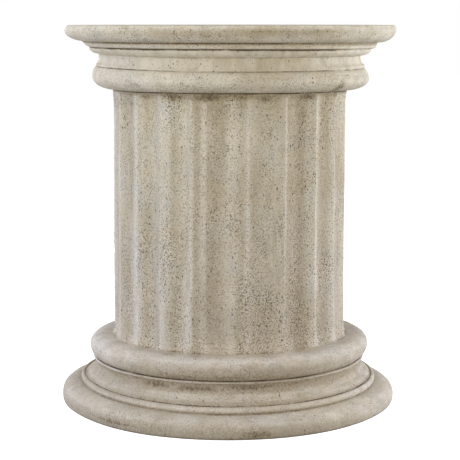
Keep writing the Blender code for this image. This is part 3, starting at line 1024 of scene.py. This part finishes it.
def stone_material():
    """Cream cast stone with a wiped brown-grey wash and painted shade in its recesses, worn pale
    edges, painted light on the neck, sandy grain and pits.
    """
    material = bpy.data.materials.new("weathered_cast_stone")
    material.use_nodes = True
    tree = material.node_tree
    shader = tree.nodes["Principled BSDF"]
    shader.inputs["Metallic"].default_value = 0.0
    shader.inputs["Specular IOR Level"].default_value = 0.2
    place = add_node(tree, "ShaderNodeTexCoord").outputs["Object"]
    hollow, edge, groove, stain, peppered, sandy, turned = (
        add_node(tree, "ShaderNodeAttribute", attribute_name=name).outputs["Fac"]
        for name in FINISH_ATTRIBUTES)
    colour = stone_ground(tree, place, edge, turned)
    colour = washed_and_shaded(tree, place, colour, hollow, groove, stain)
    sand = linked(tree, add_node(tree, "ShaderNodeGroup", node_tree=sand_group()),
                  Vector=place, Sandy=sandy)
    colour = mix_colour(tree, product(tree, sand.outputs["Pale"], 0.45), colour, PALE)
    colour = mix_colour(tree, product(tree, sand.outputs["Dark"], 0.80), colour, WASH_DARK)

    parts = linked(tree, add_node(tree, "ShaderNodeSeparateXYZ"), Vector=place)
    up_the_shaft = ramp_between(tree, parts.outputs["Z"], SHAFT_FOOT, SHAFT_HEAD)
    tint = mix_colour(tree, up_the_shaft, FOOT_TINT, CAP_TINT)
    colour = mix_colour(tree, 1.0, colour, tint, "MULTIPLY")
    pitted = pit_mask(tree, place, peppered)
    colour = mix_colour(tree, product(tree, pitted, 0.92), colour, PIT_DARK)
    tree.links.new(colour, shader.inputs["Base Color"])
    pale_gloss = math_node(tree, "MULTIPLY", sand.outputs["Pale"], 0.15)
    tree.links.new(math_node(tree, "SUBTRACT", 0.93, pale_gloss), shader.inputs["Roughness"])

    uneven = noise_value(tree, place, scale=130.0, detail=4.0, roughness=0.6)
    relief = math_node(tree, "SUBTRACT", math_node(tree, "MULTIPLY", uneven, 0.5), pitted)
    grain_depth = math_node(tree, "MULTIPLY", sand.outputs["Dark"], 0.45)
    bump = add_node(tree, "ShaderNodeBump")
    bump.inputs["Strength"].default_value = 0.55
    bump.inputs["Distance"].default_value = 0.0009
    tree.links.new(math_node(tree, "SUBTRACT", relief, grain_depth), bump.inputs["Height"])
    tree.links.new(bump.outputs["Normal"], shader.inputs["Normal"])
    return material


def floor_material():
    """A pale floor that the camera sees as plain white."""
    material = bpy.data.materials.new("studio_floor")
    material.use_nodes = True
    tree = material.node_tree
    shader = tree.nodes["Principled BSDF"]
    shader.inputs["Base Color"].default_value = (0.48, 0.48, 0.48, 1.0)
    shader.inputs["Roughness"].default_value = 1.0
    shader.inputs["Specular IOR Level"].default_value = 0.0
    shader.inputs["Emission Color"].default_value = (1.0, 1.0, 1.0, 1.0)
    seen = add_node(tree, "ShaderNodeLightPath").outputs["Is Camera Ray"]
    glow = math_node(tree, "MULTIPLY", seen, FLOOR_GLOW)
    tree.links.new(glow, shader.inputs["Emission Strength"])
    return material


def studio_floor():
    shape = bmesh.new()
    bmesh.ops.create_circle(shape, cap_ends=True, segments=96, radius=FLOOR_RADIUS)
    mesh = bpy.data.meshes.new("studio_floor")
    shape.to_mesh(mesh)
    shape.free()
    mesh.materials.append(floor_material())
    floor = bpy.data.objects.new("studio_floor", mesh)
    bpy.context.scene.collection.objects.link(floor)


def soft_light(name, turn, rise, power, tint):
    """A square soft box that faces the pedestal, at its angle from the front and its rise."""
    lamp = bpy.data.lights.new(name, "AREA")
    lamp.size = SOFT_BOX_SIZE
    lamp.energy = power
    lamp.color = tint
    item = bpy.data.objects.new(name, lamp)
    across = math.cos(math.radians(rise))
    way = Vector((math.sin(math.radians(turn)) * across, -math.cos(math.radians(turn)) * across,
                  math.sin(math.radians(rise))))
    item.location = way * SOFT_BOX_DISTANCE + Vector((0.0, 0.0, TOTAL_HEIGHT * 0.5))
    item.rotation_euler = (-way).to_track_quat("-Z", "Y").to_euler()
    bpy.context.scene.collection.objects.link(item)


def studio_world():
    """Plain white behind the pedestal, and a dim even light on it."""
    world = bpy.data.worlds.new("studio_world")
    world.use_nodes = True
    tree = world.node_tree
    even = tree.nodes["Background"]
    even.inputs["Color"].default_value = (1.0, 0.97, 0.90, 1.0)
    even.inputs["Strength"].default_value = EVEN_LIGHT
    white = add_node(tree, "ShaderNodeBackground")
    white.inputs["Color"].default_value = (1.0, 1.0, 1.0, 1.0)
    seen = add_node(tree, "ShaderNodeLightPath").outputs["Is Camera Ray"]
    mix = add_node(tree, "ShaderNodeMixShader")
    tree.links.new(seen, mix.inputs[0])
    tree.links.new(even.outputs[0], mix.inputs[1])
    tree.links.new(white.outputs[0], mix.inputs[2])
    tree.links.new(mix.outputs[0], tree.nodes["World Output"].inputs["Surface"])
    bpy.context.scene.world = world


def studio_camera():
    lens = bpy.data.cameras.new("studio_camera")
    lens.sensor_width = SENSOR_WIDTH
    lens.lens = FOCAL_PIXELS / FRAME_PIXELS * SENSOR_WIDTH
    camera = bpy.data.objects.new("studio_camera", lens)
    camera.location = (CAMERA_SIDE, -CAMERA_DISTANCE, CAMERA_HEIGHT)
    camera.rotation_euler = (math.radians(90.0 - CAMERA_PITCH), 0.0, 0.0)
    bpy.context.scene.collection.objects.link(camera)
    bpy.context.scene.camera = camera


studio_camera()
studio_world()
studio_floor()
for soft_box in SOFT_BOXES:
    soft_light(*soft_box)
bpy.context.scene.view_settings.view_transform = "Standard"

casting = cast_pedestal(stone_material())
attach(casting, "root")
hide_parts("pedestal")
